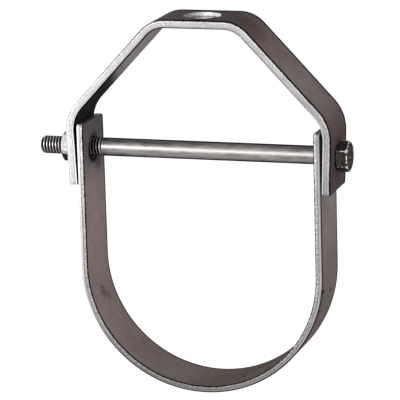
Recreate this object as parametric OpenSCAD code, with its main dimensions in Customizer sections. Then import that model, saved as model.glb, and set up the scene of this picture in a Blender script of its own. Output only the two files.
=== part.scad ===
// Adjustable clevis hanger for one horizontal pipe: a bent upper yoke that hangs on a threaded
// rod, a U-shaped lower yoke that carries the pipe, and the cross bolt and nut that join them.
// X runs along the cross bolt, Y along the pipe and Z up. The origin is the middle of the rod
// hole on the crown's underside, where the nut on the rod bears.

/* [Strap stock] */
// Width of both straps, along the pipe
strap_w = 32; // [24:1:50]
// Thickness of the upper yoke's strap
yoke_t = 4.2; // [3:0.1:7]
// Thickness of the lower yoke's strap
cradle_t = 3.4; // [2.5:0.1:6]
// Radius of the corner that the slitting shears roll over, along one face of each strap
rollover_r = 0.8; // [0.2:0.1:1]
// Radius of the corners at the straps' cut ends
end_corner_r = 1.8; // [0.5:0.1:6]

/* [Lower yoke] */
// Inside radius of the round pipe seat
seat_r = 61; // [50:1:90]
// Bolt axis down to the centre of the pipe seat
seat_drop = 60; // [25:1:120]
// Bolt axis up to the ends of the ears
ear_rise = 14.3; // [10:0.1:16]

/* [Upper yoke] */
// Bolt axis up to the underside of the crown
crown_rise = 65.8; // [55:0.1:90]
// Width of the crown's underside between the corners it would have without bends
crown_w = 42; // [30:1:60]
// Bolt axis up to the corner of leg and diagonal, on their inner faces
shoulder_rise = 17.7; // [15:0.1:25]
// Bolt axis down to the ends of the legs
leg_drop = 17.3; // [12:0.1:30]
// Inward lean of each leg, in degrees
leg_lean = 2; // [0:0.1:3]
// Inside radius of the two crown bends
crown_bend_r = 13; // [6:0.5:20]
// Inside radius of the two shoulder bends
shoulder_bend_r = 18; // [10:0.5:22]
// Thickness that the strap loses where the press brake bends it
bend_thinning = 0.02; // [0.02:0.01:0.2]
// Gap between each leg's end and the lower yoke
foot_gap = 0.4; // [0.3:0.1:2]
// Diameter of the hole for the threaded rod
rod_hole_d = 18.6; // [10:0.1:22]

/* [Cross bolt] */
// Diameter of the plain shank
bolt_d = 9.525; // [6:0.005:12]
// Diameter over the thread
thread_d = 9.4; // [5.5:0.1:11]
// Length of thread that stands out past the nut
tip_standout = 12.2; // [2:0.1:25]
// Length of the thread
thread_len = 31.75; // [22:0.25:60]
// Chamfer at the bolt's tip
tip_chamfer = 1.1; // [0.4:0.1:2]
// Width across flats of head and nut
hex_af = 14.29; // [13:0.01:22]
// Height of the head without its washer face
head_h = 5.6; // [4:0.1:10]
// Height of the washer face under the head
washer_face_h = 0.4; // [0.2:0.1:1]
// Diameter of the washer face under the head
washer_face_d = 13.6; // [12:0.1:14]
// Height of the nut
nut_h = 6.5; // [5:0.1:12]
// Turn of the nut about the bolt from having a flat face forward, in degrees
nut_turn = 22; // [0:1:60]
// Slope of the chamfers on head and nut, in degrees
hex_chamfer_angle = 30; // [20:1:40]
// Radial clearance of the bolt in the yokes' holes
bolt_clearance = 0.8; // [0.3:0.1:1.5]
// Radial clearance between the thread and the nut's bore
thread_clearance = 0.1; // [0.05:0.05:0.3]
// Clearance between the head or the nut and the leg beside it
seat_clearance = 0.15; // [0.1:0.05:1]

/* [Hidden] */
$fn = 96;
steel = [0.36, 0.33, 0.32];
dark_steel = [0.22, 0.20, 0.20];
// Overshoot of a cut beyond the face that it opens
cut = 1;
// Length by which one shape reaches into the next, so that the two are one solid
lap = 0.2;
bolt_hole_d = bolt_d + 2 * bolt_clearance;
hex_corner_r = hex_af / 2 / cos(30);
// Inner face of a leg: where it stands at its end, at the bolt and at the shoulder corner
foot_x = seat_r + cradle_t + foot_gap;
shoulder_x = foot_x + (leg_drop + shoulder_rise) * tan(leg_lean);
// Outer face of a leg at the height where the top corner of head or nut touches it
leg_outer_x = foot_x + (leg_drop + hex_corner_r) * tan(leg_lean) + yoke_t / cos(leg_lean);
bearing_x = leg_outer_x + seat_clearance;
bolt_len = 2 * bearing_x + nut_h + tip_standout;
// Turns of the strap at shoulder and crown, and what each bend takes off the straight runs
diagonal_angle = atan2(crown_rise - shoulder_rise, shoulder_x - crown_w / 2);
shoulder_turn = 90 + leg_lean - diagonal_angle;
crown_turn = diagonal_angle;
shoulder_tangent = shoulder_bend_r * tan(shoulder_turn / 2);
crown_tangent = crown_bend_r * tan(crown_turn / 2);
leg_run = (leg_drop + shoulder_rise) / cos(leg_lean) - shoulder_tangent;
diagonal_run = norm([crown_rise - shoulder_rise, shoulder_x - crown_w / 2])
    - shoulder_tangent - crown_tangent;
crown_run = crown_w - 2 * crown_tangent;

// Cross-section of a strap: x runs from the inner face to the outer one, y across the width.
// The shears roll over the corners of one face, the inner or the outer one. A loss makes the
// section that much thinner and narrower.
module strap_section(t, roll_inner, loss = 0) {
    thick = t - loss;
    w = strap_w - loss;
    translate([loss / 2 + (roll_inner ? thick : 0), 0]) mirror([roll_inner ? 1 : 0, 0]) {
        translate([0, -w / 2]) square([thick - rollover_r, w]);
        translate([thick - rollover_r - cut / 2, -w / 2 + rollover_r])
            square([rollover_r + cut / 2, w - 2 * rollover_r]);
        for (side = [-1, 1])
            translate([thick - rollover_r, side * (w / 2 - rollover_r)]) circle(rollover_r);
    }
}

// Face of a strap's end run: x across the width and y along the run, rounded at y = 0
module end_outline(run) {
    translate([-strap_w / 2, end_corner_r]) square([strap_w, run - end_corner_r]);
    translate([-strap_w / 2 + end_corner_r, 0])
        square([strap_w - 2 * end_corner_r, end_corner_r + cut]);
    for (side = [-1, 1])
        translate([side * (strap_w / 2 - end_corner_r), end_corner_r]) circle(end_corner_r);
}

// Straight run along z whose cut end, at z = 0, has rounded corners
module end_run(t, roll_inner, run) {
    intersection() {
        linear_extrude(run) strap_section(t, roll_inner);
        rotate([90, 0, 90]) linear_extrude(t) end_outline(run);
    }
}

// One strap as the press brake makes it: each step is a straight run and the bend after it,
// given as [run, turn, inside radius]. The strap starts at the origin and runs along z, and it
// bends towards -x. Its first and last runs have cut ends, and each bend loses some thickness.
module bent_strap(t, roll_inner, loss, steps, i = 0) {
    run = steps[i][0];
    turn = steps[i][1];
    bend_r = steps[i][2];
    over = loss > 0 ? lap : 0;
    if (i == 0)
        end_run(t, roll_inner, run + over);
    else if (i == len(steps) - 1)
        translate([0, 0, run]) mirror([0, 0, 1]) end_run(t, roll_inner, run + over);
    else
        translate([0, 0, -over]) linear_extrude(run + 2 * over) strap_section(t, roll_inner);
    if (i < len(steps) - 1)
        translate([-bend_r, 0, run]) {
            rotate([90, 0, 0]) rotate_extrude(angle = turn)
                translate([bend_r, 0]) strap_section(t, roll_inner, loss);
            rotate([0, -turn, 0]) translate([bend_r, 0, 0])
                bent_strap(t, roll_inner, loss, steps, i + 1);
        }
}

// Hexagon along z with a chamfer at its top, and at its bottom too if both is set
module chamfered_hex(h, both) {
    crest = hex_af / 2;
    drop = (hex_corner_r - crest) * tan(hex_chamfer_angle);
    low = both ? drop : 0;
    intersection() {
        cylinder(r = hex_corner_r, h = h, $fn = 6);
        rotate_extrude() polygon([[0, 0], [both ? crest : hex_corner_r, 0], [hex_corner_r, low],
            [hex_corner_r, h - drop], [crest, h], [0, h]]);
    }
}

// Places what is drawn about the bolt's axis
module at_bolt() {
    translate([0, 0, -crown_rise]) children();
}

module upper_yoke() {
    color(steel) at_bolt() difference() {
        translate([foot_x, 0, -leg_drop]) rotate([0, leg_lean, 0])
            bent_strap(yoke_t, true, bend_thinning, [
                [leg_run, shoulder_turn, shoulder_bend_r],
                [diagonal_run, crown_turn, crown_bend_r],
                [crown_run, crown_turn, crown_bend_r],
                [diagonal_run, shoulder_turn, shoulder_bend_r],
                [leg_run, 0, 0]]);
        translate([0, 0, crown_rise - cut]) cylinder(d = rod_hole_d, h = yoke_t + 2 * cut);
        translate([-leg_outer_x - cut, 0, 0]) rotate([0, 90, 0])
            cylinder(d = bolt_hole_d, h = 2 * (leg_outer_x + cut));
    }
}

module lower_yoke() {
    straight = ear_rise + seat_drop;
    color(steel) at_bolt() difference() {
        translate([-seat_r, 0, ear_rise]) rotate([0, 180, 0])
            bent_strap(cradle_t, false, 0, [[straight, 180, seat_r], [straight, 0, 0]]);
        translate([-foot_x, 0, 0]) rotate([0, 90, 0])
            cylinder(d = bolt_hole_d, h = 2 * foot_x);
    }
}

module cross_bolt() {
    color(dark_steel) at_bolt() translate([bearing_x, 0, 0]) rotate([0, 90, 0]) {
        cylinder(d = washer_face_d, h = washer_face_h + lap);
        translate([0, 0, washer_face_h]) chamfered_hex(head_h, false);
        translate([0, 0, thread_len - bolt_len])
            cylinder(d = bolt_d, h = bolt_len - thread_len + washer_face_h);
        translate([0, 0, -bolt_len]) rotate_extrude()
            polygon([[0, 0], [thread_d / 2 - tip_chamfer, 0], [thread_d / 2, tip_chamfer],
                [thread_d / 2, thread_len + lap], [0, thread_len + lap]]);
    }
}

module hex_nut() {
    color(steel) at_bolt() translate([-bearing_x, 0, 0]) rotate([-nut_turn, 0, 0])
        rotate([0, -90, 0]) difference() {
            chamfered_hex(nut_h, true);
            translate([0, 0, -cut])
                cylinder(d = thread_d + 2 * thread_clearance, h = nut_h + 2 * cut);
        }
}

upper_yoke();
lower_yoke();
cross_bolt();
hex_nut();
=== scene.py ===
"""Dresses the clevis pipe hanger: rolled and sheared strap steel, a threaded bolt and its nut."""
import math
import bmesh
import bpy
from mathutils import Matrix, Vector


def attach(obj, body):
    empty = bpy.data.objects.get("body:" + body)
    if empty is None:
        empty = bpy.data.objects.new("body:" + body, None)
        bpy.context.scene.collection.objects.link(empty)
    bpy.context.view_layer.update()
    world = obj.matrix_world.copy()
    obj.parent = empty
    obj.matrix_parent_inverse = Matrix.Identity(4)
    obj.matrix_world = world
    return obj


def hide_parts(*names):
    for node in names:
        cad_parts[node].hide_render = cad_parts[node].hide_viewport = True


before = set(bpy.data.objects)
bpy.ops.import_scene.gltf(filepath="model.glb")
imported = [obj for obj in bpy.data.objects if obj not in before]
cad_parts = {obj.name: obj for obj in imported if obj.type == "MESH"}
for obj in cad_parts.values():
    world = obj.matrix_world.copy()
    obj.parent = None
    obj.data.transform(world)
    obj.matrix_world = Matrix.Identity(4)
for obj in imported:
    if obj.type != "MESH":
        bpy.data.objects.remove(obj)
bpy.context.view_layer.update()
MM = 0.001

# Sizes of the part, in millimetres, as in its source
STRAP_W = 32.0
YOKE_T = 4.2
CRADLE_T = 3.4
ROLLOVER_R = 0.8
END_CORNER_R = 1.8
SEAT_R = 61.0
SEAT_DROP = 60.0
EAR_RISE = 14.3
CROWN_RISE = 65.8
CROWN_W = 42.0
SHOULDER_RISE = 17.7
LEG_DROP = 17.3
LEG_LEAN = math.radians(2)
CROWN_BEND_R = 13.0
SHOULDER_BEND_R = 18.0
FOOT_GAP = 0.4
ROD_HOLE_D = 18.6
BOLT_D = 9.525
THREAD_D = 9.4
TIP_STANDOUT = 12.2
THREAD_LEN = 31.75
HEX_AF = 14.29
HEAD_H = 5.6
WASHER_FACE_H = 0.4
WASHER_FACE_D = 13.6
NUT_H = 6.5
NUT_TURN = math.radians(22)
BOLT_CLEARANCE = 0.8
SEAT_CLEARANCE = 0.15
BOLT_HOLE_D = BOLT_D + 2 * BOLT_CLEARANCE
HEX_CORNER_R = HEX_AF / 2 / math.cos(math.radians(30))
FOOT_X = SEAT_R + CRADLE_T + FOOT_GAP
SHOULDER_X = FOOT_X + (LEG_DROP + SHOULDER_RISE) * math.tan(LEG_LEAN)
LEG_INNER_X = FOOT_X + LEG_DROP * math.tan(LEG_LEAN)
LEG_OUTER_X = FOOT_X + (LEG_DROP + HEX_CORNER_R) * math.tan(LEG_LEAN) + YOKE_T / math.cos(LEG_LEAN)
BEARING_X = LEG_OUTER_X + SEAT_CLEARANCE
BOLT_LEN = 2 * BEARING_X + NUT_H + TIP_STANDOUT
TIP_X = BEARING_X - BOLT_LEN
HEAD_X = BEARING_X + WASHER_FACE_H

# Finer forms of the straps, in millimetres: the corner along the burr, the rounding of a cut end
# and its reach, the wander of the slit edges and its length, the rounding of the holes' rims, and
# the radius of a bolt hole's rim
BURR_R = 0.12
END_LIP = 0.10
LIP_REACH = 0.12
EDGE_WANDER = 0.07
WANDER_LEN = 23
ROD_HOLE_FLARE = 0.35
BOLT_HOLE_FLARE = 0.3
BOLT_RIM_R = BOLT_HOLE_D / 2 + BOLT_HOLE_FLARE
# Length of the mesh's rows along a strap in millimetres, and the number of columns round a hole
STATION_GAP = 1.6
HOLE_COLUMNS = 96
# Metres that lie between the UVs of a strap's faces and those of its sheared edges
EDGE_V = 0.1

# The thread, in millimetres: one turn of its ridge as (share of the pitch, share of the depth),
# the lengths from the tip at which it starts to run out and has run out, the tip's bevel, and the
# number of columns round the bolt
PITCH = 25.4 / 16
THREAD_DEPTH = 0.6134 * PITCH
RIDGE = [(0.0, 0.0), (0.0625, 0.0), (0.125, 0.0), (0.28, 0.5), (0.4375, 1.0), (0.5625, 1.06),
         (0.6875, 1.0), (0.8438, 0.5)]
FADE_START = THREAD_LEN - 0.6
FADE_END = THREAD_LEN + 2.6
TIP_BEVEL = 1.15
BOLT_COLUMNS = 72
# Radius of the corners of head and nut, and how far down from its top the head is worn bright,
# partly as painted glints
HEX_EDGE_R = 0.35
WORN_GLINT_REACH = 1.35

# Black of painted shade along rims, corners and the rod hole, and the brown of oil
SHADE_BLACK = (0.004, 0.003, 0.003)
OIL = (0.020, 0.011, 0.010)


# Mesh helpers
def new_object(name, data):
    obj = bpy.data.objects.new(name, data)
    bpy.context.scene.collection.objects.link(obj)
    return obj


def applied(obj):
    """The object's mesh with its modifiers applied, as a new mesh."""
    bpy.context.view_layer.update()
    graph = bpy.context.evaluated_depsgraph_get()
    return bpy.data.meshes.new_from_object(obj.evaluated_get(graph))


def finished(bm, name):
    """The bmesh as a new mesh, with its faces turned outwards."""
    bmesh.ops.recalc_face_normals(bm, faces=bm.faces)
    mesh = bpy.data.meshes.new(name)
    bm.to_mesh(mesh)
    bm.free()
    return mesh


def smooth_by_angle(mesh, degrees):
    mesh.polygons.foreach_set("use_smooth", [True] * len(mesh.polygons))
    mesh.set_sharp_from_angle(angle=math.radians(degrees))


def skin(bm, rings):
    """Faces between each ring of vertices and the next."""
    for a, b in zip(rings, rings[1:]):
        for i in range(len(a)):
            j = (i + 1) % len(a)
            bm.faces.new((a[i], a[j], b[j], b[i]))


def quarter(steps, first=0):
    """Angles of a quarter turn, from 0 on, or from the first step on and with its end."""
    return [math.pi / 2 * i / steps for i in range(first, first + steps)]


def grid_noise(x, y, seed):
    """Smooth value noise from -1 to 1 at a point of the plane."""
    def value(i, j):
        h = math.sin(i * 127.1 + j * 311.7 + seed * 74.7) * 43758.5453
        return 2 * (h - math.floor(h)) - 1
    i, j = math.floor(x), math.floor(y)
    fx, fy = x - i, y - j
    fx, fy = fx * fx * (3 - 2 * fx), fy * fy * (3 - 2 * fy)
    low = value(i, j) * (1 - fx) + value(i + 1, j) * fx
    high = value(i, j + 1) * (1 - fx) + value(i + 1, j + 1) * fx
    return low * (1 - fy) + high * fy


# Straps
def path_length(steps):
    return sum(run + turn * radius for run, turn, radius in steps)


def rolled_reach(t):
    """Distance across a slit edge, from its burr round the rolled corner to the face."""
    return t - BURR_R + ROLLOVER_R * (math.pi / 2 - 1)


def strap_stations(start, heading, steps):
    """Points along a strap's inner face, as (distance, x, z, heading), with close ones at its
    ends. Each step is a straight run and the bend after it, as (run, turn, inside radius)."""
    fine = [0.0, LIP_REACH, 0.3, 0.55, 0.85, 1.2, 1.5, END_CORNER_R]
    clear = END_CORNER_R + 0.3
    out = []
    x, z = start
    s = 0.0
    for k, (run, turn, radius) in enumerate(steps):
        parts = max(1, round(run / STATION_GAP))
        marks = [run * i / parts for i in range(parts + 1)]
        if k == 0:
            marks = fine + [m for m in marks if m > clear]
        if k == len(steps) - 1:
            marks = [m for m in marks if m < run - clear] + [run - f for f in reversed(fine)]
        for m in marks[:-1] if turn else marks:
            out.append((s + m, x + m * math.cos(heading), z + m * math.sin(heading), heading))
        x, z, s = x + run * math.cos(heading), z + run * math.sin(heading), s + run
        if turn:
            cx, cz = x - radius * math.sin(heading), z + radius * math.cos(heading)
            n = max(8, round(turn * radius / STATION_GAP * 1.6))
            for i in range(n):
                h = heading + turn * i / n
                out.append((s + radius * turn * i / n,
                            cx + radius * math.sin(h), cz - radius * math.cos(h), h))
            heading += turn
            x, z = cx + radius * math.sin(heading), cz - radius * math.cos(heading)
            s += radius * turn
    return out


def strap_section(t, roll_inner):
    """The section's outline as (outward, across, distance from the burr or None on a face)."""
    w, r, b, near = STRAP_W / 2, ROLLOVER_R, BURR_R, 0.07
    edge_len = t - r - b

    def face_run(a, c):
        inset = math.copysign(near, c - a)
        return [a, a + inset] + [a + (c - a) * i / 14 for i in range(1, 14)] + [c - inset]
    flat = [near] + [edge_len * i / 6 for i in range(1, 6)] + [edge_len - near]
    points = [(0.0, y, None) for y in face_run(w - b, b - w)]
    points += [(b - b * math.cos(a), -w + b - b * math.sin(a), 0.0) for a in quarter(3)]
    points.append((b, -w, 0.0))
    points += [(b + d, -w, d) for d in flat]
    points += [(t - r + r * math.sin(a), -w + r - r * math.cos(a), edge_len + r * a)
               for a in quarter(8)]
    points += [(t, y, None) for y in face_run(r - w, w - r)]
    points += [(t - r + r * math.cos(a), w - r + r * math.sin(a), edge_len + r * (math.pi / 2 - a))
               for a in quarter(8)]
    points.append((t - r, w, edge_len))
    points += [(b + d, w, d) for d in reversed(flat)]
    points += [(b - b * math.sin(a), w - b + b * math.cos(a), 0.0) for a in quarter(3)]
    if roll_inner:
        points = [(t - u, y, d) for u, y, d in reversed(points)]
    return points


def strap_mesh(name, t, roll_inner, start, heading, steps):
    """A bent strap with rolled-over and sheared edges, in metres. Face UVs hold the distance along
    the strap and across it, and on the sheared edges the distance from the burr, all in metres.
    Its materials are those of the outer face, the inner face, the edges and the ends."""
    section = strap_section(t, roll_inner)
    stations = strap_stations(start, heading, steps)
    length = stations[-1][0]
    rolled = rolled_reach(t)
    bm = bmesh.new()
    uv = bm.loops.layers.uv.new("strap")
    n = len(section)
    rings = []
    for s, x, z, h in stations:
        end = min(s, length - s)
        half = STRAP_W / 2
        if end < END_CORNER_R:
            rise = max(0.0, END_CORNER_R**2 - (END_CORNER_R - end)**2)
            half = half - END_CORNER_R + math.sqrt(rise)
        squeeze = half / (STRAP_W / 2)
        lip = END_LIP * (1 - min(1.0, end / LIP_REACH))
        ring = []
        for u, y, _ in section:
            side = -1 if y < 0 else 1
            noise = grid_noise(s / WANDER_LEN, side * 5.0, seed=3)
            drift = EDGE_WANDER * noise * abs(y) / (STRAP_W / 2)
            u = min(max(u, lip), t - lip)
            y = y * squeeze + side * drift * min(1.0, end / 3)
            point = (x + u * math.sin(h), y, z - CROWN_RISE - u * math.cos(h))
            ring.append(bm.verts.new([v * MM for v in point]))
        rings.append(ring)
    for k in range(len(rings) - 1):
        s0, s1 = stations[k][0], stations[k + 1][0]
        for i in range(n):
            j = (i + 1) % n
            f = bm.faces.new((rings[k][i], rings[k][j], rings[k + 1][j], rings[k + 1][i]))
            d0, d1 = section[i][2], section[j][2]
            edge = d0 is not None or d1 is not None
            f.material_index = 2 if edge else int(section[i][0] < t / 2)
            border = rolled if max(d0 or 0, d1 or 0) > 1 else 0.0
            for loop, s, q, d in zip(f.loops, (s0, s0, s1, s1), (i, j, j, i), (d0, d1, d1, d0)):
                if edge:
                    v = EDGE_V + (border if d is None else d) * MM
                else:
                    v = section[q][1] * MM
                loop[uv].uv = (s * MM, v)
    for ring in (rings[0][::-1], rings[-1]):
        bm.faces.new(ring).material_index = 3
    return finished(bm, name)


def hole_cutter(radius, t, flare, place, material):
    """A spool that cuts a punched hole: its ends flare to round the hole's rims. No ring of it
    lies on a face of the strap, and its columns are turned off the lines of the strap's mesh,
    because the cut goes wrong where they meet."""
    wide = radius + flare + 0.02
    profile = [(wide, -3.0), (wide, -0.02)]
    profile += [(radius + flare * (1 - math.sin(a)), flare * (1 - math.cos(a)))
                for a in quarter(5, first=1)]
    profile += [(radius + flare * (1 - math.cos(a)), t - flare * (1 - math.sin(a)))
                for a in quarter(5)]
    profile += [(wide, t + 0.02), (wide, t + 3.0)]
    angles = [2 * math.pi * (i + 0.37) / HOLE_COLUMNS for i in range(HOLE_COLUMNS)]
    bm = bmesh.new()
    rings = [[bm.verts.new((r * math.cos(a) * MM, r * math.sin(a) * MM, z * MM)) for a in angles]
             for r, z in profile]
    skin(bm, rings)
    bm.faces.new(rings[0][::-1])
    bm.faces.new(rings[-1])
    mesh = finished(bm, "hole_cutter")
    mesh.materials.append(material)
    obj = new_object("hole_cutter", mesh)
    obj.matrix_world = place
    return obj


def bolt_hole_cutters(inner_x, t, material):
    """Cutters for the bolt holes of a strap whose inner face lies at +-inner_x there."""
    cutters = []
    for side in (1, -1):
        place = (Matrix.Translation((side * inner_x * MM, 0, -CROWN_RISE * MM))
                 @ Matrix.Rotation(side * math.pi / 2, 4, "Y"))
        cutters.append(hole_cutter(BOLT_HOLE_D / 2, t, BOLT_HOLE_FLARE, place, material))
    return cutters


def with_holes(mesh, cutters, materials):
    """The strap's mesh with its holes cut. The holes' walls keep the cutters' materials, and the
    slivers that the cuts leave are merged away."""
    for m in materials:
        mesh.materials.append(m)
    obj = new_object(mesh.name + "_blank", mesh)
    for cutter in cutters:
        mod = obj.modifiers.new("hole", "BOOLEAN")
        mod.operation = "DIFFERENCE"
        mod.solver = "EXACT"
        mod.object = cutter
        mod.material_mode = "TRANSFER"
    result = applied(obj)
    for o in [obj] + cutters:
        bpy.data.objects.remove(o)
    bm = bmesh.new()
    bm.from_mesh(result)
    bmesh.ops.remove_doubles(bm, verts=bm.verts, dist=3e-6)
    bmesh.ops.dissolve_degenerate(bm, dist=1e-6, edges=bm.edges)
    bm.to_mesh(result)
    bm.free()
    smooth_by_angle(result, 32)
    return result


# Hexagons and the thread
def hex_outline(corner):
    """Points round a hexagon across flats HEX_AF, flats facing +-y, with rounded corners."""
    reach = HEX_CORNER_R - corner / math.cos(math.radians(30))
    arcs = []
    for k in range(6):
        mid = math.radians(60 * k)
        middle = Vector((math.cos(mid), math.sin(mid))) * reach
        turns = [mid + math.radians(-30 + 15 * i) for i in range(5)]
        arcs.append([middle + Vector((math.cos(a), math.sin(a))) * corner for a in turns])
    points = []
    for arc, following in zip(arcs, arcs[1:] + arcs[:1]):
        points += arc + [arc[-1].lerp(following[0], i / 6) for i in range(1, 6)]
    return points


def add_hex(bm, h, both, bore, worn, place):
    """A chamfered hexagon along z, moved to its place. It is chamfered at its top, and at its
    bottom too if both is set. It has a bore if a radius is given, and a strip of the given
    width below its top chamfer, which on the bolt's head is worn bright, partly as painted glints."""
    outline = hex_outline(HEX_EDGE_R)
    crest = HEX_AF / 2 - 0.15
    slope = math.tan(math.radians(30))
    rings = []

    def drop(p):
        return max(0.02, (p.length - crest) * slope)

    def add(points):
        rings.append([bm.verts.new(place @ Vector([v * MM for v in p])) for p in points])

    def hex_ring(share, height):
        add([(p.x * share, p.y * share, height(p)) for p in outline])

    def round_ring(r, z):
        add([(p.x / p.length * r, p.y / p.length * r, z) for p in outline])

    if both:
        round_ring(crest - 0.25, 0)
        round_ring(crest, 0.06)
        hex_ring(1, lambda p: drop(p) + 0.04)
    else:
        hex_ring(0.97, lambda p: 0)
        hex_ring(1, lambda p: 0.25)
    hex_ring(1, lambda p: h - drop(p) - worn)
    hex_ring(0.996, lambda p: h - drop(p) - 0.03)
    round_ring(crest, h - 0.08)
    round_ring(crest - 0.3, h)
    if bore:
        for wider, z in ((0.45, h), (0.3, h - 0.12), (0, h - 0.5), (0, 0.5), (0.4, 0.0)):
            round_ring(bore + wider, z)
        rings.append(rings[0])
    else:
        for share, dip in ((0.75, 0.02), (0.4, 0.05), (0.1, 0.06)):
            round_ring(crest * share, h - dip)
        bm.faces.new(rings[-1])
        bm.faces.new(rings[0][::-1])
    skin(bm, rings)


def bolt_mesh(name):
    """The hex bolt along +X, with its thread cut as a helix and run out into the shank."""
    bm = bmesh.new()
    turn = len(RIDGE)
    rows = int(FADE_END / PITCH + 3) * turn
    end = TIP_X + FADE_END

    def vertex(i, r, x):
        angle = 2 * math.pi * i / BOLT_COLUMNS
        return bm.verts.new(Vector((x, r * math.sin(angle), -r * math.cos(angle))) * MM)

    def around(*places):
        """Rings of vertices round the axis, given as (radius, x)."""
        return [[vertex(i, r, x) for i in range(BOLT_COLUMNS)] for r, x in places]

    def thread_vertex(i, j):
        share, depth = RIDGE[j % turn]
        x = TIP_X + (j // turn + share + i / BOLT_COLUMNS - 1.5) * PITCH
        x = min(max(x, TIP_X), end)
        along = x - TIP_X
        fade = min(1.0, max(0.0, (along - FADE_START) / (FADE_END - FADE_START)))
        r = THREAD_D / 2 - THREAD_DEPTH * depth
        r = r + (BOLT_D / 2 - r) * fade**0.8
        return vertex(i, min(r, THREAD_D / 2 - TIP_BEVEL + along), x)

    helix = [[thread_vertex(i, j) for i in range(BOLT_COLUMNS)] for j in range(rows + turn + 1)]
    for j in range(rows):
        for i in range(BOLT_COLUMNS):
            a, b = helix[j][i], helix[j + 1][i]
            if i < BOLT_COLUMNS - 1:
                c, d = helix[j + 1][i + 1], helix[j][i + 1]
            else:
                c, d = helix[j + turn + 1][0], helix[j + turn][0]
            bm.faces.new((a, b, c, d))
    shank = around(*((BOLT_D / 2, x) for x in (
        end, end + 1.0, end + 20, end + 50, end + 80, BEARING_X - 0.3, BEARING_X + 0.2)))
    skin(bm, shank[::-1])
    bm.faces.new(shank[-1])
    tip_r = THREAD_D / 2 - TIP_BEVEL
    tip = around((tip_r, TIP_X), (tip_r - 0.3, TIP_X - 0.06), (1.5, TIP_X - 0.06))
    skin(bm, tip)
    bm.faces.new(tip[-1])
    bmesh.ops.remove_doubles(bm, verts=bm.verts, dist=2e-7)

    # The washer face is a closed ring about the shank
    inner, outer, back = BOLT_D / 2 - 0.3, WASHER_FACE_D / 2, HEAD_X + 0.1
    washer = around((inner, BEARING_X), (outer - 0.15, BEARING_X), (outer, BEARING_X + 0.12),
                    (outer, back), (inner, back))
    skin(bm, washer + washer[:1])

    # The head: dark flats and ends, with corners and chamfer worn bright, partly as painted glints
    before = set(bm.faces)
    place = (Matrix.Translation(Vector((HEAD_X, 0, 0)) * MM)
             @ Matrix.Rotation(math.pi / 2, 4, "Y"))
    add_hex(bm, HEAD_H, both=False, bore=None, worn=0.4, place=place)
    bm.normal_update()
    for f in bm.faces:
        if f not in before:
            tilt, face_turn = abs(f.normal.x), math.degrees(math.atan2(f.normal.z, f.normal.y))
            strip = f.calc_center_median().x > (HEAD_X + HEAD_H - WORN_GLINT_REACH) * MM
            on_flat = tilt < 0.05 and abs(face_turn - 60 * round(face_turn / 60)) < 4
            f.material_index = 1 if tilt > 0.96 or (on_flat and not strip) else 2
    bmesh.ops.translate(bm, verts=bm.verts, vec=Vector((0, 0, -CROWN_RISE * MM)))
    mesh = finished(bm, name)
    smooth_by_angle(mesh, 28)
    return mesh


def nut_mesh(name):
    bm = bmesh.new()
    place = (Matrix.Translation(Vector((-BEARING_X, 0, -CROWN_RISE)) * MM)
             @ Matrix.Rotation(-NUT_TURN, 4, "X") @ Matrix.Rotation(-math.pi / 2, 4, "Y"))
    add_hex(bm, NUT_H, both=True, bore=THREAD_D / 2 + 0.08, worn=0.16, place=place)
    mesh = finished(bm, name)
    smooth_by_angle(mesh, 28)
    return mesh


# Materials
def cleared(owner):
    """The node tree of a material or world, without its nodes."""
    owner.use_nodes = True
    owner.node_tree.nodes.clear()
    return owner.node_tree


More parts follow.
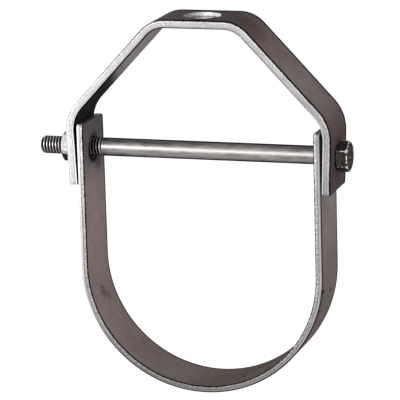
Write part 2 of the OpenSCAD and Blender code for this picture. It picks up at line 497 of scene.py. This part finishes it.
class Nodes:
    """Short calls that build a node material."""

    def __init__(self, name):
        self.material = bpy.data.materials.new(name)
        self.tree = cleared(self.material)
        out = self.tree.nodes.new("ShaderNodeOutputMaterial")
        self.shader = self.tree.nodes.new("ShaderNodeBsdfPrincipled")
        self.link(self.shader.outputs["BSDF"], out.inputs["Surface"])

    def link(self, a, b):
        self.tree.links.new(a, b)

    def put(self, socket, value):
        if isinstance(value, bpy.types.NodeSocket):
            self.link(value, socket)
        else:
            socket.default_value = value

    def coords(self):
        return self.tree.nodes.new("ShaderNodeTexCoord").outputs["Object"]

    def strap_uv(self):
        node = self.tree.nodes.new("ShaderNodeUVMap")
        node.uv_map = "strap"
        return node.outputs["UV"]

    def scaled(self, vector, scale):
        node = self.tree.nodes.new("ShaderNodeMapping")
        node.vector_type = "POINT"
        self.put(node.inputs["Vector"], vector)
        node.inputs["Scale"].default_value = scale
        return node.outputs["Vector"]

    def noise(self, vector, scale, detail, rough):
        node = self.tree.nodes.new("ShaderNodeTexNoise")
        self.put(node.inputs["Vector"], vector)
        node.inputs["Scale"].default_value = scale
        node.inputs["Detail"].default_value = detail
        node.inputs["Roughness"].default_value = rough
        return node.outputs["Fac"]

    def ramp(self, value, stops):
        """Runs through the stops, each (value, grey or colour)."""
        node = self.tree.nodes.new("ShaderNodeValToRGB")
        self.put(node.inputs["Fac"], value)
        ramp = node.color_ramp
        while len(ramp.elements) < len(stops):
            ramp.elements.new(0.5)
        for e, (at, c) in zip(ramp.elements, stops):
            e.position = at
            e.color = (c, c, c, 1) if isinstance(c, (int, float)) else (*c, 1)
        return node.outputs["Color"]

    def step(self, value, low, high):
        """0 below low and 1 above high, or the other way round if low is the larger."""
        node = self.tree.nodes.new("ShaderNodeMapRange")
        self.put(node.inputs["Value"], value)
        node.inputs["From Min"].default_value, node.inputs["From Max"].default_value = low, high
        return node.outputs["Result"]

    def math(self, op, a, b=0.0):
        node = self.tree.nodes.new("ShaderNodeMath")
        node.operation = op
        self.put(node.inputs[0], a)
        self.put(node.inputs[1], b)
        return node.outputs[0]

    def times(self, a, b):
        return self.math("MULTIPLY", a, b)

    def sloped(self, value, slope, base):
        """The value times the slope, plus the base."""
        return self.math("ADD", self.times(value, slope), base)

    def uneven(self, value, noise, amount):
        """The value, moved up and down by the noise."""
        shift = self.times(self.math("SUBTRACT", noise, 0.5), amount)
        return self.math("ADD", value, shift)

    def without(self, mask, full):
        """The full value outside the mask and 0 inside it."""
        return self.times(self.math("SUBTRACT", 1.0, mask), full)

    def mix(self, factor, a, b, mode="MIX"):
        node = self.tree.nodes.new("ShaderNodeMix")
        node.data_type = "RGBA"
        node.blend_type = mode
        self.put(node.inputs[0], factor)
        self.put(node.inputs[6], a if isinstance(a, bpy.types.NodeSocket) else (*a, 1))
        self.put(node.inputs[7], b if isinstance(b, bpy.types.NodeSocket) else (*b, 1))
        return node.outputs[2]

    def tint(self, tone, mask, strength, colour, mode="MIX"):
        """The tone, turned towards the colour by the given strength where the mask is 1."""
        return self.mix(self.times(mask, strength), tone, colour, mode)

    def axis(self, vector, name):
        node = self.tree.nodes.new("ShaderNodeSeparateXYZ")
        self.put(node.inputs[0], vector)
        return node.outputs[name]

    def spot(self, uv, centre, half, soft, wobble):
        """1 inside an ellipse on a strap's face, given in millimetres along it and across it."""
        node = self.tree.nodes.new("ShaderNodeMapping")
        self.put(node.inputs["Vector"], uv)
        node.inputs["Scale"].default_value = (1 / half[0] / MM, 1 / half[1] / MM, 0)
        node.inputs["Location"].default_value = (-centre[0] / half[0], -centre[1] / half[1], 0)
        size = self.tree.nodes.new("ShaderNodeVectorMath")
        size.operation = "LENGTH"
        self.link(node.outputs["Vector"], size.inputs[0])
        reach = self.math("ADD", size.outputs["Value"], self.times(wobble, 2 * soft))
        return self.step(reach, 1 + 2 * soft, 1)

    def bump(self, height, strength, distance, normal=None):
        node = self.tree.nodes.new("ShaderNodeBump")
        self.put(node.inputs["Height"], height)
        node.inputs["Strength"].default_value = strength
        node.inputs["Distance"].default_value = distance
        if normal is not None:
            self.link(normal, node.inputs["Normal"])
        return node.outputs["Normal"]

    def surface(self, tone, metallic, roughness, normal, gloss, gloss_tint):
        """Gives the shader its values and returns the material. Gloss is the specular level."""
        self.put(self.shader.inputs["Base Color"], tone)
        self.put(self.shader.inputs["Metallic"], metallic)
        self.put(self.shader.inputs["Roughness"], roughness)
        self.put(self.shader.inputs["Normal"], normal)
        self.shader.inputs["Specular IOR Level"].default_value = gloss
        self.shader.inputs["Specular Tint"].default_value = (gloss_tint, gloss_tint, gloss_tint, 1)
        return self.material


def strap_face_material(name, length, metallic, tones, skew, rims, marks):
    """Rolled strip under thin, dark scale. The tones are (share of the length, colour) along the
    strap, at its front further on by skew times the distance across; they are partly the scale's
    own unevenness and partly painted light and shade, and skew slants the edge of a painted
    shadow. The face is mottled, streaked along the strap, faintly pitted and black by its rims,
    which is painted shade: the dark strips start rims[0] from the middle at the front and rims[1]
    at the back. The marks, stains, scratches and painted shade, are (middle, half size,
    softness, strength, colour), in millimetres."""
    m = Nodes(name)
    uv, at = m.strap_uv(), m.coords()
    broad = m.noise(at, 38, 3, 0.5)
    mottle = m.noise(at, 240, 5, 0.62)
    streak = m.noise(m.scaled(uv, (26, 1300, 1)), 1, 4, 0.6)
    grain = m.noise(at, 2600, 3, 0.6)
    along = m.math("SUBTRACT", m.axis(uv, "X"), m.times(m.axis(uv, "Y"), skew))
    tone = m.ramp(m.math("DIVIDE", along, length * MM), tones)
    for noise, low, high, strength, colour in (
            (broad, 0.38, 0.66, 0.55, (0.80, 0.72, 0.70)),
            (mottle, 0.46, 0.70, 0.45, (0.72, 0.64, 0.60)),
            (streak, 0.45, 0.75, 0.3, (1.35, 1.35, 1.35)),
            (grain, 0.40, 0.70, 0.5, (0.74, 0.74, 0.74))):
        tone = m.tint(tone, m.ramp(noise, [(low, 0), (high, 1)]), strength, colour, "MULTIPLY")
    pits = m.noise(m.scaled(uv, (260, 420, 1)), 1, 2, 0.6)
    tone = m.tint(tone, m.step(pits, 0.72, 0.76), 0.75, (0.02, 0.015, 0.014))
    for middle, half, soft, strength, colour in marks:
        tone = m.tint(tone, m.spot(uv, middle, half, soft, mottle), strength, colour)
    # Painted shade: black strips along both rims of the face
    across = m.uneven(m.axis(uv, "Y"), grain, 0.0008)
    front = m.step(across, (0.45 - rims[0]) * MM, (-0.45 - rims[0]) * MM)
    back = m.step(across, (rims[1] - 0.5) * MM, (rims[1] + 0.5) * MM)
    rim = m.math("MAXIMUM", front, back)
    tone = m.mix(rim, tone, SHADE_BLACK)
    normal = m.bump(m.mix(0.5, streak, grain), 0.12, 0.0002, m.bump(mottle, 0.10, 0.0004))
    return m.surface(tone, m.without(rim, metallic), m.sloped(mottle, 0.2, 0.38), normal, 0.0, 0.0)


def strap_edge_material(name, length, tones, roll_tones, outline, burr, rolled, line, speckle):
    """Slit edge: coarse and speckled from the burr to a thin dark line, smooth beyond it, and dark
    where the rolled corner meets the face, a painted shade. Distances from the burr are in
    millimetres. The tones run along the strap, those of the roll on top of the others, and paint
    light and shade: lighter where the light falls. So do the outline, the width by which the roll
    is black, and the burr, how black the line along the burr is, both painted shade."""
    m = Nodes(name)
    uv, at = m.strap_uv(), m.coords()
    grain = m.noise(m.scaled(uv, (850, 1500, 1)), 1, 3, 0.75)
    streak = m.noise(m.scaled(uv, (90, 2600, 1)), 1, 3, 0.6)
    broad = m.noise(at, 120, 3, 0.55)
    from_burr = m.math("SUBTRACT", m.axis(uv, "Y"), EDGE_V)
    ragged = m.uneven(from_burr, grain, 0.0011)
    share = m.math("DIVIDE", m.axis(uv, "X"), length * MM)
    coarse = m.ramp(grain, [
        (0.38, 1 - speckle), (0.50, 1.0 - speckle * 0.3), (0.62, 1.0 + speckle * 0.5)])
    coarse = m.mix(0.5, coarse, m.ramp(streak, [(0.35, 0.5), (0.65, 1.25)]), "MULTIPLY")
    fine = m.ramp(streak, [(0.3, 0.9), (0.7, 1.1)])
    smooth = m.mix(1.0, m.ramp(share, roll_tones), fine, "MULTIPLY")
    mark = line * MM
    body = m.mix(m.step(from_burr, mark - 0.0001, mark + 0.0001), coarse, smooth)
    tone = m.mix(1.0, m.ramp(share, tones), body, "MULTIPLY")
    cloud = m.ramp(broad, [(0.42, 0), (0.62, 1)])
    tone = m.tint(tone, cloud, 0.4, (0.78, 0.76, 0.76), "MULTIPLY")
    groove = m.times(m.step(from_burr, mark - 0.00035, mark - 0.0001),
                     m.step(from_burr, mark + 0.00035, mark + 0.0001))
    tone = m.tint(tone, groove, 0.6, (0.10, 0.09, 0.09))
    shear = m.times(m.step(from_burr, 0.0004, 0.0006), m.step(from_burr, 0.0011, 0.0008))
    tone = m.tint(tone, shear, 0.8, (1.5, 1.5, 1.5), "MULTIPLY")
    # Painted shade: black lines along the burr and where the roll meets the face
    from_roll = m.math("ADD", from_burr, m.times(m.ramp(share, outline), MM))
    black = m.math("MAXIMUM", m.times(m.step(ragged, 0.00045, 0.00015), m.ramp(share, burr)),
                   m.step(from_roll, (rolled - 0.1) * MM, (rolled + 0.1) * MM))
    tone = m.mix(black, tone, SHADE_BLACK)
    normal = m.bump(grain, 0.3, 0.0002, m.bump(streak, 0.2, 0.0001))
    return m.surface(tone, m.without(black, 0.25), 0.45, normal, 0.0, 0.3)


def cut_end_material():
    """Sheared end of a strap: dull and dark, a painted shade, with marks down through its
    thickness.
    """
    m = Nodes("strap_end")
    at = m.coords()
    marks = m.noise(m.scaled(at, (300, 1500, 300)), 1, 4, 0.6)
    grain = m.noise(at, 1500, 3, 0.6)
    shade = m.ramp(marks, [(0.35, 0), (0.65, 1)])
    tone = m.mix(shade, (0.035, 0.031, 0.030), (0.15, 0.14, 0.138))
    return m.surface(tone, 0.3, 0.5, m.bump(grain, 0.3, 0.0002), 0.1, 1.0)


def rod_hole_material():
    """Punched wall of the rod hole: bright at the rims, with a torn and dull band between them,
    dull all over on its left, which is painted shade, and black under the upper rim at the front,
    also painted shade."""
    m = Nodes("rod_hole_wall")
    at = m.coords()
    grain = m.noise(m.scaled(at, (900, 900, 700)), 1, 4, 0.6)
    depth = m.uneven(m.axis(at, "Z"), grain, 0.0008)
    shade = m.ramp(grain, [(0.35, 0), (0.65, 1)])
    clean = m.mix(shade, (0.62, 0.61, 0.61), (0.98, 0.97, 0.97))
    torn = m.mix(shade, (0.13, 0.12, 0.118), (0.50, 0.49, 0.485))
    band = m.times(m.step(depth, 0.0027, 0.0023), m.step(depth, 0.0011, 0.0016))
    tone = m.mix(band, clean, torn)
    # Painted shade on the left of the wall
    left = m.step(m.axis(at, "X"), -0.002, -0.0085)
    tone = m.tint(tone, left, 0.75, (0.16, 0.145, 0.15))
    # Painted shade: black under the upper rim at the front
    near = m.times(m.step(m.axis(at, "Y"), -0.003, -0.005),
                   m.step(m.axis(at, "Z"), 0.0033, 0.0036))
    tone = m.mix(near, tone, SHADE_BLACK)
    return m.surface(tone, m.without(near, 0.3), 0.4, m.bump(grain, 0.3, 0.0001), 0.0, 1.0)


def bolt_hole_material():
    """Punched wall of a bolt hole, near black."""
    m = Nodes("bolt_hole_wall")
    grain = m.noise(m.coords(), 1500, 4, 0.6)
    shade = m.ramp(grain, [(0.35, 0), (0.7, 1)])
    tone = m.mix(shade, (0.010, 0.009, 0.009), (0.06, 0.054, 0.052))
    return m.surface(tone, 0.4, 0.5, m.bump(grain, 0.2, 0.0001), 0.5, 1.0)


def bolt_material():
    """Drawn bolt steel: grey and blotchy, finely lined along the shank, and dark along its top and
    underside, a painted shade. The thread has bright crests, a painted highlight, and black roots,
    a painted shade, and is oily where it passes through the left leg."""
    m = Nodes("bolt_steel")
    at = m.coords()
    line = m.noise(m.scaled(at, (60, 1400, 1400)), 1, 4, 0.6)
    blotch = m.noise(m.scaled(at, (120, 500, 500)), 1, 4, 0.65)
    grain = m.noise(at, 2200, 2, 0.6)
    shade = m.ramp(blotch, [(0.36, 0), (0.64, 1)])
    tone = m.mix(shade, (0.15, 0.138, 0.136), (0.27, 0.256, 0.252))
    tone = m.tint(tone, m.ramp(line, [(0.45, 0), (0.75, 1)]), 0.4, (0.30, 0.288, 0.285))
    x, y = m.axis(at, "X"), m.axis(at, "Y")
    z = m.math("ADD", m.axis(at, "Z"), CROWN_RISE * MM)
    radius = m.math("SQRT", m.math("ADD", m.times(y, y), m.times(z, z)))
    threaded = m.math("LESS_THAN", x, (TIP_X + THREAD_LEN + 2.4) * MM)
    behind_tip = m.step(x, (TIP_X + 0.1) * MM, (TIP_X + 0.4) * MM)
    # Painted shade in the thread's roots
    root = m.times(m.times(m.step(radius, 0.0042, 0.0038), threaded), behind_tip)
    oily = m.times(m.step(x, -0.066, -0.062), threaded)
    # Painted highlight on the thread's crests, less of it where the thread is oily
    crest_highlight = m.math("SUBTRACT", threaded, m.times(oily, 0.4))
    tone = m.mix(m.times(m.step(radius, 0.0043, 0.0045), crest_highlight), tone, (0.52, 0.50, 0.50))
    tone = m.mix(m.times(oily, m.step(radius, 0.0046, 0.0043)), tone, (0.03, 0.022, 0.021))
    # Painted shade along the bolt's top and underside
    height = m.uneven(z, blotch, 0.0003)
    outline_shade = m.math("MAXIMUM", m.step(height, 0.0041, 0.0046), m.step(height, -0.0030, -0.0037))
    tone = m.tint(tone, outline_shade, 0.93, (0.014, 0.011, 0.011))
    tone = m.mix(root, tone, (0.006, 0.005, 0.005))
    metallic = m.math("SUBTRACT", 1.0, m.times(outline_shade, 0.9))
    normal = m.bump(line, 0.15, 0.0002, m.bump(grain, 0.25, 0.0001))
    return m.surface(tone, metallic, m.sloped(blotch, 0.5, 0.18), normal, 0.0, 0.15)


def head_material():
    """Dark, oiled flats of the bolt's head, paler at the front next to the leg, which is painted
    light, with bright chips along the outer rim, partly worn metal and partly painted glints."""
    m = Nodes("bolt_head")
    at = m.coords()
    x, y = m.axis(at, "X"), m.axis(at, "Y")
    blotch = m.noise(at, 420, 5, 0.6)
    grain = m.noise(at, 2200, 3, 0.6)
    shade = m.ramp(blotch, [(0.36, 0), (0.7, 1)])
    tone = m.mix(shade, (0.018, 0.013, 0.013), (0.065, 0.050, 0.049))
    # Painted light: the front flat paler next to the leg
    front = m.times(m.step(y, -0.0062, -0.0068),
                    m.step(x, (BEARING_X + 3.4) * MM, (BEARING_X + 2.2) * MM))
    tone = m.tint(tone, front, 0.6, (0.13, 0.108, 0.106))
    outer = m.step(x, (BEARING_X + HEAD_H - 0.9) * MM, (BEARING_X + HEAD_H - 0.6) * MM)
    # Bright chips on the outer rim, partly painted glints
    chips_and_glints = m.times(m.step(m.noise(at, 700, 3, 0.6), 0.62, 0.66), outer)
    tone = m.tint(tone, chips_and_glints, 0.8, (0.62, 0.58, 0.57))
    normal = m.bump(blotch, 0.15, 0.0003, m.bump(grain, 0.2, 0.0001))
    return m.surface(tone, 0.5, m.sloped(blotch, 0.25, 0.3), normal, 0.02, 0.0)


def worn_glint_material():
    """Corners and chamfer of the head, worn to bright metal in patches, partly as painted glints.
    """
    m = Nodes("bolt_head_worn_glint")
    patch = m.noise(m.coords(), 750, 4, 0.65)
    tone = m.mix(m.step(patch, 0.45, 0.54), (0.03, 0.024, 0.023), (0.85, 0.82, 0.81))
    return m.surface(tone, 0.4, 0.35, m.bump(patch, 0.3, 0.0003), 0.0, 0.0)


def nut_material():
    """Pale nut with a fine satin grain, dark on its underside, a painted shade."""
    m = Nodes("nut_steel")
    at = m.coords()
    blotch = m.noise(at, 420, 4, 0.6)
    grain = m.noise(at, 2200, 3, 0.6)
    shade = m.ramp(blotch, [(0.3, 0), (0.7, 1)])
    tone = m.mix(shade, (0.26, 0.25, 0.25), (0.55, 0.535, 0.535))
    # Painted shade on the nut's underside
    low = m.math("ADD", m.axis(at, "Z"), m.times(blotch, 0.001))
    tone = m.mix(m.step(low, -0.0681, -0.0687), tone, (0.022, 0.018, 0.018))
    normal = m.bump(grain, 0.2, 0.0001)
    return m.surface(tone, 0.4, m.sloped(blotch, 0.2, 0.35), normal, 0.02, 0.0)


# The upper yoke's path, from its right leg's end round to its left leg's end
diagonal = math.atan2(CROWN_RISE - SHOULDER_RISE, SHOULDER_X - CROWN_W / 2)
shoulder_turn = math.pi / 2 + LEG_LEAN - diagonal
shoulder_tangent = SHOULDER_BEND_R * math.tan(shoulder_turn / 2)
crown_tangent = CROWN_BEND_R * math.tan(diagonal / 2)
leg_run = (LEG_DROP + SHOULDER_RISE) / math.cos(LEG_LEAN) - shoulder_tangent
diagonal_run = (math.hypot(CROWN_RISE - SHOULDER_RISE, SHOULDER_X - CROWN_W / 2)
                - shoulder_tangent - crown_tangent)
crown_run = CROWN_W - 2 * crown_tangent
upper_steps = [
    (leg_run, shoulder_turn, SHOULDER_BEND_R), (diagonal_run, diagonal, CROWN_BEND_R),
    (crown_run, diagonal, CROWN_BEND_R), (diagonal_run, shoulder_turn, SHOULDER_BEND_R),
    (leg_run, 0, 0)]
straight = EAR_RISE + SEAT_DROP
lower_steps = [(straight, math.pi, SEAT_R), (straight, 0, 0)]
upper_length, lower_length = path_length(upper_steps), path_length(lower_steps)
end_steel, hole_steel = cut_end_material(), bolt_hole_material()


def oiled_hole(along):
    """The oil round a bolt hole that lies this far along a strap."""
    reach = BOLT_RIM_R + 0.9
    return ((along, 0), (reach, reach), 0.15, 0.85, OIL)


# Oil round the bolt holes, painted shade as a black crescent by the front half of the rod hole's
# rim and as black bands along both rims of the crown, and a faint brown patch where the right
# diagonal meets the crown
yoke_stains_and_shade = [
    oiled_hole(LEG_DROP), oiled_hole(upper_length - LEG_DROP),
    # Painted shade: the black crescent by the rod hole and the black bands along the crown's rims
    ((upper_length / 2 - 1.5, -2.6), (7.5, ROD_HOLE_D / 2), 0.04, 0.95, SHADE_BLACK),
    ((upper_length / 2, 16.2), (30.0, 3.2), 0.08, 0.95, SHADE_BLACK),
    ((upper_length / 2, -16.2), (30.0, 2.7), 0.08, 0.95, SHADE_BLACK),
    ((94.0, -3.0), (7.0, 9.0), 0.45, 0.35, (0.085, 0.040, 0.032))]
# On the yoke, the tones along the faces are partly uneven scale and partly painted light and
# shade, and the near-black stretch on the inner face, slanted by skew, is a painted shadow. The
# edges' tones and roll tones are painted light, lighter where the light falls, and their outline
# and burr set the width and strength of painted shade lines.
upper_steel = [
    strap_face_material(
        "yoke_outer_face", upper_length, metallic=0.2, skew=0.0, rims=(14.55, 13.9),
        marks=yoke_stains_and_shade, tones=[
            (0.0, (0.125, 0.098, 0.104)), (0.12, (0.148, 0.107, 0.105)),
            (0.175, (0.23, 0.190, 0.190)), (0.25, (0.275, 0.235, 0.235)),
            (0.36, (0.225, 0.176, 0.168)), (0.43, (0.130, 0.110, 0.116)),
            (0.56, (0.126, 0.109, 0.119)), (0.64, (0.15, 0.13, 0.13)), (1.0, (0.14, 0.12, 0.12))]),
    strap_face_material(
        "yoke_inner_face", upper_length, metallic=0.05, skew=0.51, rims=(14.55, 14.6),
        marks=yoke_stains_and_shade, tones=[
            (0.0, (0.12, 0.103, 0.103)), (0.5, (0.15, 0.133, 0.133)),
            (0.61, (0.42, 0.395, 0.40)), (0.700, (0.40, 0.38, 0.385)),
            (0.738, (0.29, 0.272, 0.277)), (0.760, (0.075, 0.071, 0.072)),
            (0.782, (0.036, 0.034, 0.035)), (0.90, (0.036, 0.034, 0.035)),
            (1.0, (0.05, 0.045, 0.05))]),
    strap_edge_material(
        "yoke_edge", upper_length, rolled=rolled_reach(YOKE_T), line=3.15, speckle=0.32,
        tones=[
            (0.0, (0.34, 0.325, 0.33)), (0.15, (0.37, 0.355, 0.36)), (0.35, (0.44, 0.425, 0.43)),
            (0.46, (0.43, 0.415, 0.42)), (0.62, (0.46, 0.45, 0.455)), (0.85, (0.57, 0.56, 0.565)),
            (1.0, (0.62, 0.60, 0.63))],
        roll_tones=[(0.0, 1.8), (0.16, 1.7), (0.30, 1.1), (0.44, 1.0), (0.56, 1.0), (0.62, 1.5),
                    (1.0, 1.6)],
        outline=[(0.0, 0.5), (0.13, 0.5), (0.20, 0.95), (0.42, 0.95), (0.60, 1.1), (0.85, 0.95),
                 (0.90, 0.6)],
        burr=[(0.0, 1), (0.62, 1), (0.72, 0.6), (0.82, 0.15), (1.0, 0.15)]),
    end_steel]

# On the lower yoke: oil round the bolt holes, more of it below the left one, and small marks on
# the seat, which are smudges, a speck, two scratches and a dark seam behind the front rim
dark, light = (0.02, 0.012, 0.011), (0.42, 0.33, 0.31)
seat_stains = [
    ((EAR_RISE + 0.8, -0.3), (BOLT_RIM_R + 1.6, BOLT_RIM_R + 2.2), 0.18, 0.92,
     (0.012, 0.006, 0.005)),
    ((EAR_RISE + 8.0, 6.0), (5.0, 5.0), 0.4, 0.4, OIL), oiled_hole(lower_length - EAR_RISE)]
seat_inner_marks = [
    ((92.0, -0.5), (3.2, 2.6), 0.5, 0.6, (0.10, 0.075, 0.075)),
    ((95.5, 4.5), (2.2, 2.2), 0.5, 0.5, (0.11, 0.08, 0.08)),
    ((189.0, -4.0), (1.1, 1.3), 0.1, 0.95, dark), ((205.0, -9.0), (1.2, 2.0), 0.3, 0.6, dark),
    ((104.5, 4.2), (2.6, 0.35), 0.1, 0.7, light), ((107.8, 5.6), (2.2, 0.35), 0.1, 0.7, light)]
seat_outer_marks = [
    ((255.5, 3.0), (0.5, 4.0), 0.3, 0.7, dark), ((258.5, -13.5), (1.0, 2.6), 0.2, 0.9, dark),
    ((249.0, -12.8), (11.0, 1.0), 0.4, 0.7, dark)]
# On the seat, the tones along the faces are partly uneven scale and partly painted light and
# shade. The edges' tones and roll tones are painted light and shade, darker round the bottom of
# the seat, and their outline and burr set the width and strength of painted shade lines.
lower_steel = [
    strap_face_material(
        "seat_outer_face", lower_length, metallic=0.2, skew=0.0, rims=(14.55, 13.9),
        marks=seat_outer_marks, tones=[
            (0.0, (0.15, 0.13, 0.13)), (0.5, (0.15, 0.13, 0.13)), (0.66, (0.21, 0.160, 0.158)),
            (0.80, (0.27, 0.232, 0.230)), (0.92, (0.385, 0.332, 0.340)),
            (1.0, (0.30, 0.255, 0.26))]),
    strap_face_material(
        "seat_inner_face", lower_length, metallic=0.2, skew=0.0, rims=(15.1, 14.6),
        marks=seat_stains + seat_inner_marks, tones=[
            (0.0, (0.185, 0.165, 0.168)), (0.055, (0.198, 0.178, 0.180)),
            (0.10, (0.355, 0.290, 0.290)), (0.30, (0.328, 0.266, 0.260)),
            (0.42, (0.247, 0.210, 0.203)), (0.50, (0.180, 0.147, 0.135)),
            (0.62, (0.126, 0.108, 0.103)), (1.0, (0.15, 0.133, 0.131))]),
    strap_edge_material(
        "seat_edge", lower_length, rolled=rolled_reach(CRADLE_T), line=1.85, speckle=0.65,
        tones=[
            (0.0, (0.56, 0.545, 0.555)), (0.16, (0.39, 0.375, 0.385)), (0.30, (0.33, 0.315, 0.32)),
            (0.45, (0.23, 0.215, 0.215)), (0.60, (0.29, 0.275, 0.28)), (0.80, (0.40, 0.385, 0.39)),
            (1.0, (0.52, 0.51, 0.515))],
        roll_tones=[(0.0, 1.8), (0.22, 1.5), (0.32, 0.8), (0.40, 0.6), (0.50, 0.95), (0.80, 1.0),
                    (1.0, 0.6)],
        outline=[(0.0, 0.5), (0.28, 0.5), (0.34, 1.25), (0.64, 1.25), (0.74, 0.6), (1.0, 0.6)],
        burr=[(0.0, 1), (1.0, 1)]),
    end_steel]

# The upper yoke
upper_mesh = strap_mesh("upper_strap", YOKE_T, True, (FOOT_X, -LEG_DROP),
                        math.pi / 2 - LEG_LEAN, upper_steps)
rod_cutter = hole_cutter(
    ROD_HOLE_D / 2, YOKE_T, ROD_HOLE_FLARE, Matrix.Identity(4), rod_hole_material())
cutters = [rod_cutter] + bolt_hole_cutters(LEG_INNER_X, YOKE_T, hole_steel)
upper = new_object("yoke_strap", with_holes(upper_mesh, cutters, upper_steel))
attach(upper, "upper")
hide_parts("upper_yoke")

# The lower yoke, from its left ear down round the seat and up to its right ear
lower_mesh = strap_mesh("lower_strap", CRADLE_T, False, (-SEAT_R, EAR_RISE), -math.pi / 2,
                        lower_steps)
cutters = bolt_hole_cutters(SEAT_R, CRADLE_T, hole_steel)
lower = new_object("seat_strap", with_holes(lower_mesh, cutters, lower_steel))
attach(lower, "lower")
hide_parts("lower_yoke")

# The bolt and its nut
bolt = new_object("hex_bolt", bolt_mesh("hex_bolt"))
for steel in (bolt_material(), head_material(), worn_glint_material()):
    bolt.data.materials.append(steel)
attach(bolt, "bolt")
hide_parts("cross_bolt")
nut = new_object("plain_nut", nut_mesh("plain_nut"))
nut.data.materials.append(nut_material())
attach(nut, "bolt")
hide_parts("hex_nut")


# Camera, light, floor and background
def aim_camera(azimuth, elevation, roll, focal_px, distance, target):
    """A camera that looks at the target. The focal length is in pixels of a 400 pixel frame."""
    az, el, ro = (math.radians(v) for v in (azimuth, elevation, roll))
    back = Vector((math.sin(az) * math.cos(el), -math.cos(az) * math.cos(el), math.sin(el)))
    right = Vector((math.cos(az), math.sin(az), 0))
    up = back.cross(right)
    r = right * math.cos(ro) + up * math.sin(ro)
    u = up * math.cos(ro) - right * math.sin(ro)
    data = bpy.data.cameras.new("camera")
    data.sensor_width = 36
    data.lens = focal_px / 400 * data.sensor_width
    data.clip_start, data.clip_end = 0.05, 20
    cam = new_object("camera", data)
    cam.matrix_world = Matrix((
        (r.x, u.x, back.x, 0), (r.y, u.y, back.y, 0), (r.z, u.z, back.z, 0), (0, 0, 0, 1)))
    cam.location = Vector(target) + back * distance
    bpy.context.scene.camera = cam


def area_light(name, at, size, energy):
    """A rectangular lamp that shines at the middle of the part."""
    data = bpy.data.lights.new(name, "AREA")
    data.shape = "RECTANGLE"
    data.size, data.size_y = size
    data.energy = energy
    lamp = new_object(name, data)
    lamp.location = at
    to_part = Vector((0, 0, -0.08)) - Vector(at)
    lamp.rotation_euler = to_part.to_track_quat("-Z", "Y").to_euler()


def seen_directly(tree):
    """1 for rays from the camera, a mirror-like surface or glass, and 0 for the rest."""
    path = tree.nodes.new("ShaderNodeLightPath")
    seen = path.outputs["Is Camera Ray"]
    for kind in ("Is Transmission Ray", "Is Glossy Ray"):
        node = tree.nodes.new("ShaderNodeMath")
        node.operation = "MAXIMUM"
        tree.links.new(seen, node.inputs[0])
        tree.links.new(path.outputs[kind], node.inputs[1])
        seen = node.outputs[0]
    return seen


def floor_material():
    """Pale and takes shadows. Seen directly it also glows as much as it lacks of white."""
    material = bpy.data.materials.new("floor")
    tree = cleared(material)
    out = tree.nodes.new("ShaderNodeOutputMaterial")
    both = tree.nodes.new("ShaderNodeAddShader")
    pale = tree.nodes.new("ShaderNodeBsdfDiffuse")
    pale.inputs["Color"].default_value = (0.8, 0.8, 0.8, 1)
    glow = tree.nodes.new("ShaderNodeEmission")
    strength = tree.nodes.new("ShaderNodeMath")
    strength.operation = "MULTIPLY"
    strength.inputs[1].default_value = 0.65
    tree.links.new(seen_directly(tree), strength.inputs[0])
    tree.links.new(strength.outputs[0], glow.inputs["Strength"])
    tree.links.new(pale.outputs[0], both.inputs[0])
    tree.links.new(glow.outputs[0], both.inputs[1])
    tree.links.new(both.outputs[0], out.inputs["Surface"])
    return material


def studio_world():
    """Soft light from all round, which is plain white where it is seen directly."""
    world = bpy.data.worlds.new("studio")
    tree = cleared(world)
    out = tree.nodes.new("ShaderNodeOutputWorld")
    mix = tree.nodes.new("ShaderNodeMixShader")
    for strength, socket in ((0.55, mix.inputs[1]), (1.0, mix.inputs[2])):
        glow = tree.nodes.new("ShaderNodeBackground")
        glow.inputs["Color"].default_value = (1, 1, 1, 1)
        glow.inputs["Strength"].default_value = strength
        tree.links.new(glow.outputs[0], socket)
    tree.links.new(seen_directly(tree), mix.inputs["Fac"])
    tree.links.new(mix.outputs[0], out.inputs["Surface"])
    return world


aim_camera(azimuth=17.716, elevation=13.562, roll=-1.664, focal_px=2843.5, distance=1.46035,
           target=(-0.004082, 0, (-26.166 - CROWN_RISE) * MM))
area_light("key", at=(-0.42, -0.9, 0.14), size=(0.44, 0.44), energy=9)
area_light("fill", at=(0.9, -0.3, 0.1), size=(0.6, 0.9), energy=1.5)

# The part hangs, so the floor lies well below it
floor_z, floor_half = -0.8, 4
floor_mesh = bpy.data.meshes.new("floor")
floor_mesh.from_pydata(
    [(x * floor_half, y * floor_half, floor_z) for x, y in ((-1, -1), (1, -1), (1, 1), (-1, 1))],
    [], [(0, 1, 2, 3)])
floor = new_object("floor", floor_mesh)
floor.data.materials.append(floor_material())

bpy.context.scene.world = studio_world()
bpy.context.scene.view_settings.view_transform = "Standard"
